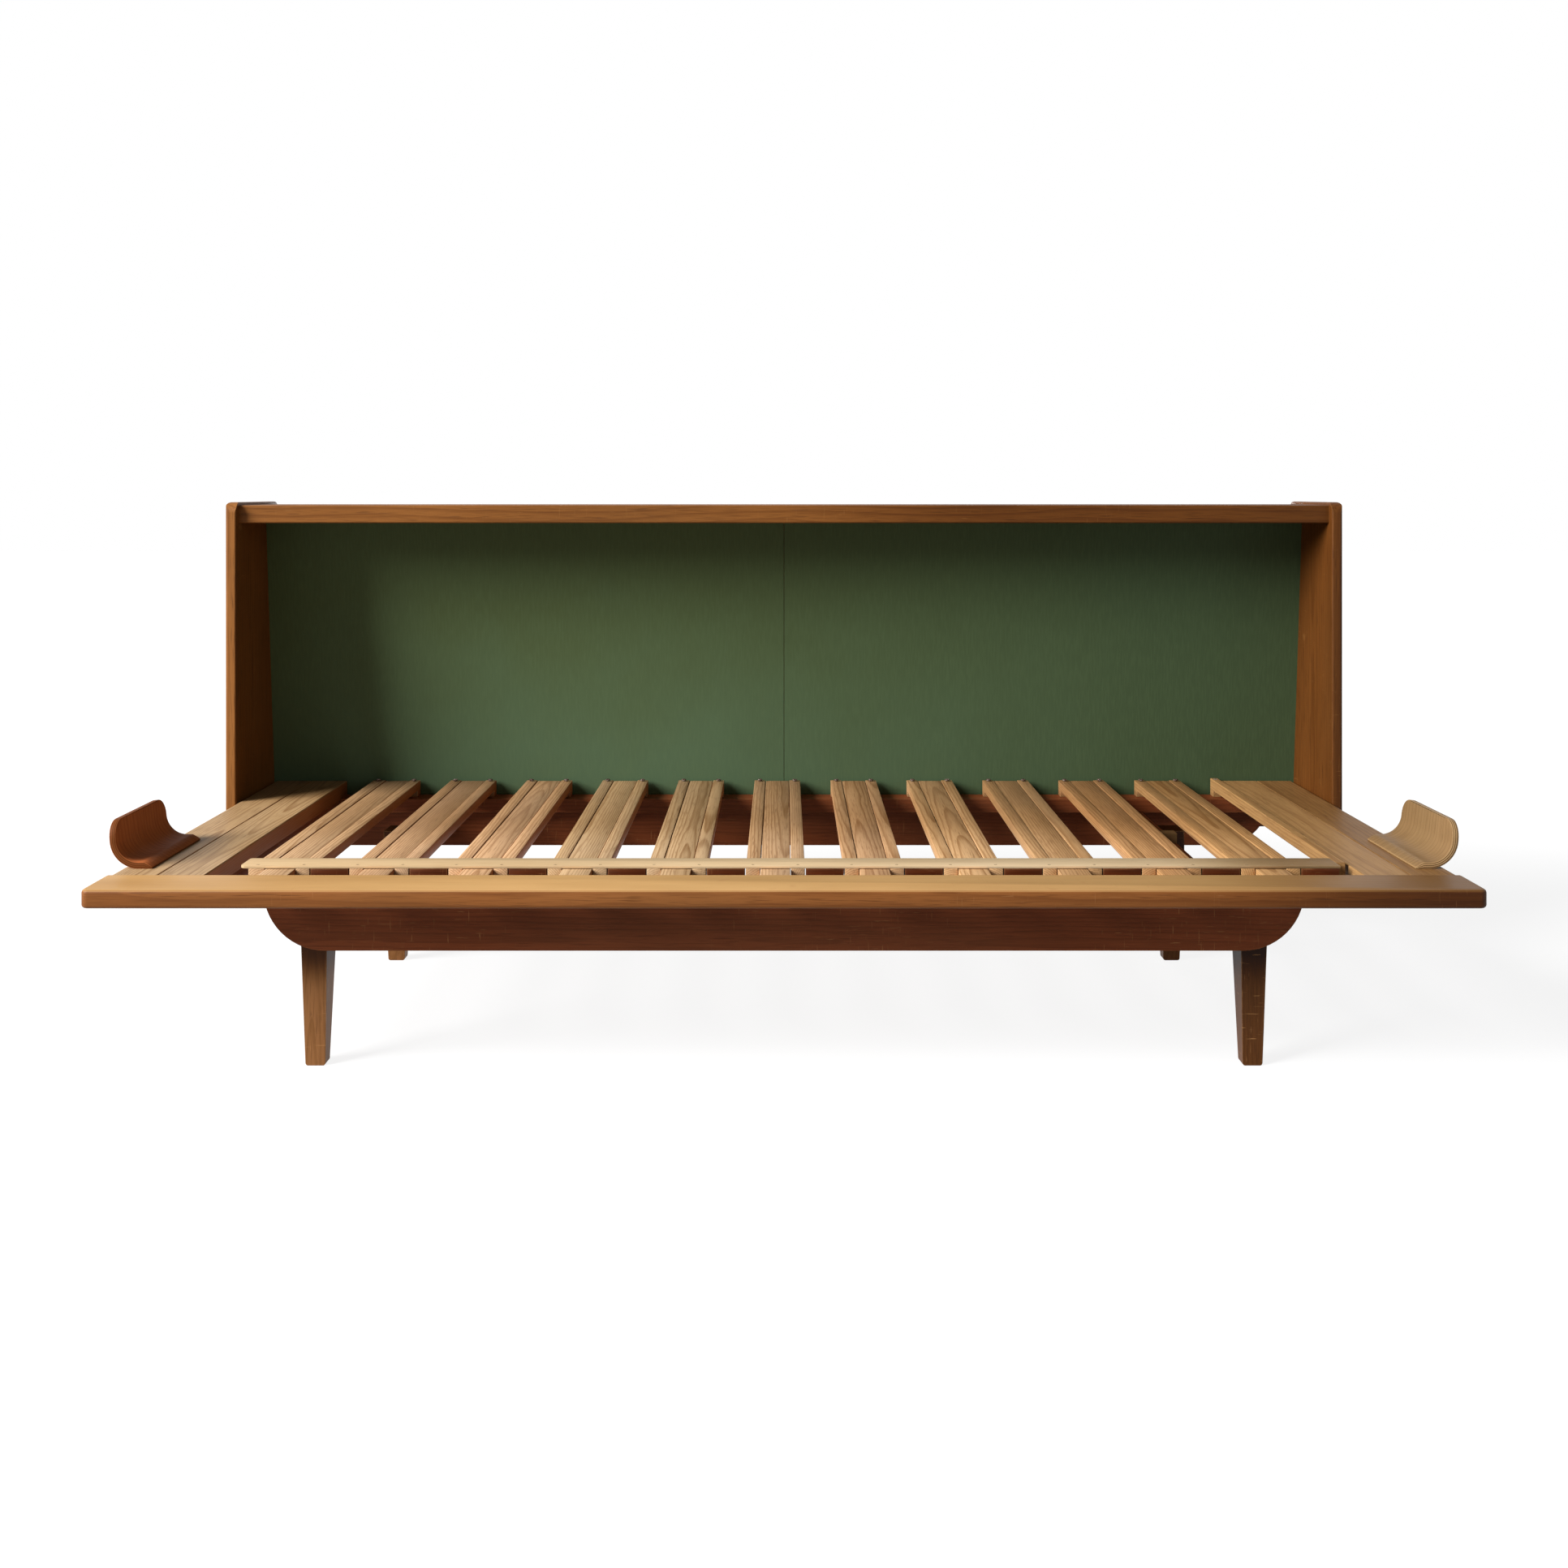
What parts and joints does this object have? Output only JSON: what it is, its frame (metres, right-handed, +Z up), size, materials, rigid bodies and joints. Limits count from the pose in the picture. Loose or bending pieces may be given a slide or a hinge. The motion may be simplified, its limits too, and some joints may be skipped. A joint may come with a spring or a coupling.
{
  "type": "sofa bed",
  "caption": "Wooden sofa bed with a slatted deck that pulls out from under an open back case, tapered legs, bent plywood mattress stops and a green back panel.",
  "frame": {"origin": "on the floor, below the middle of the closed bed's outline", "axes": "+X along the length to the right as seen from the front, +Y to the back, +Z up"},
  "size_m": [2.043, 0.869, 0.848],
  "materials": {
    "oak": "satin clear oil on pale oak",
    "brown_oak": "satin oil on darker oak",
    "pale_wood": "plain planed softwood",
    "green_paint": "matte green paint on plywood",
    "steel": "dull zinc-plated steel"
  },
  "bodies": {
    "base_and_case": {"front_base_rail": "brown_oak", "rear_base_rail": "brown_oak", "left_cross_rail": "brown_oak", "right_cross_rail": "brown_oak", "leg_front_left": "brown_oak", "leg_front_right": "brown_oak", "leg_rear_left": "brown_oak", "leg_rear_right": "brown_oak", "case_bottom_rail": "brown_oak", "left_side_panel": "oak", "right_side_panel": "oak", "top_board": "oak", "back_stile": "oak", "narrow_slats_01": "oak", "narrow_slats_02": "oak", "narrow_slats_03": "oak", "narrow_slats_04": "oak", "narrow_slats_05": "oak", "narrow_slats_06": "oak", "narrow_slats_07": "oak", "narrow_slats_08": "oak", "narrow_slats_09": "oak", "narrow_slats_10": "oak", "narrow_slats_11": "oak", "end_narrow_slat": "oak", "left_travel_block": "pale_wood", "right_travel_block": "pale_wood", "base_dowels": "pale_wood", "case_dowels": "pale_wood", "cross_batten": "pale_wood", "left_back_panel": "green_paint", "right_back_panel": "green_paint", "leg_screws": "steel", "case_screws": "steel", "batten_screws": "steel", "slat_screws": "steel"},
    "deck": {"front_rail": "oak", "left_outer_board": "oak", "right_outer_board": "oak", "left_inner_board": "oak", "right_inner_board": "oak", "wide_slat_01": "oak", "wide_slat_02": "oak", "wide_slat_03": "oak", "wide_slat_04": "oak", "wide_slat_05": "oak", "wide_slat_06": "oak", "wide_slat_07": "oak", "wide_slat_08": "oak", "wide_slat_09": "oak", "wide_slat_10": "oak", "wide_slat_11": "oak", "rear_tie_rail": "brown_oak", "left_mattress_stop": "brown_oak", "right_mattress_stop": "brown_oak", "tie_screws": "steel", "stop_screws": "steel"}
  },
  "joints": [
    {"name": "deck_slide", "type": "slide", "parent": "base_and_case", "child": "deck", "axis": [0, -1, 0], "range_m": [0, 0.24]}
  ]
}
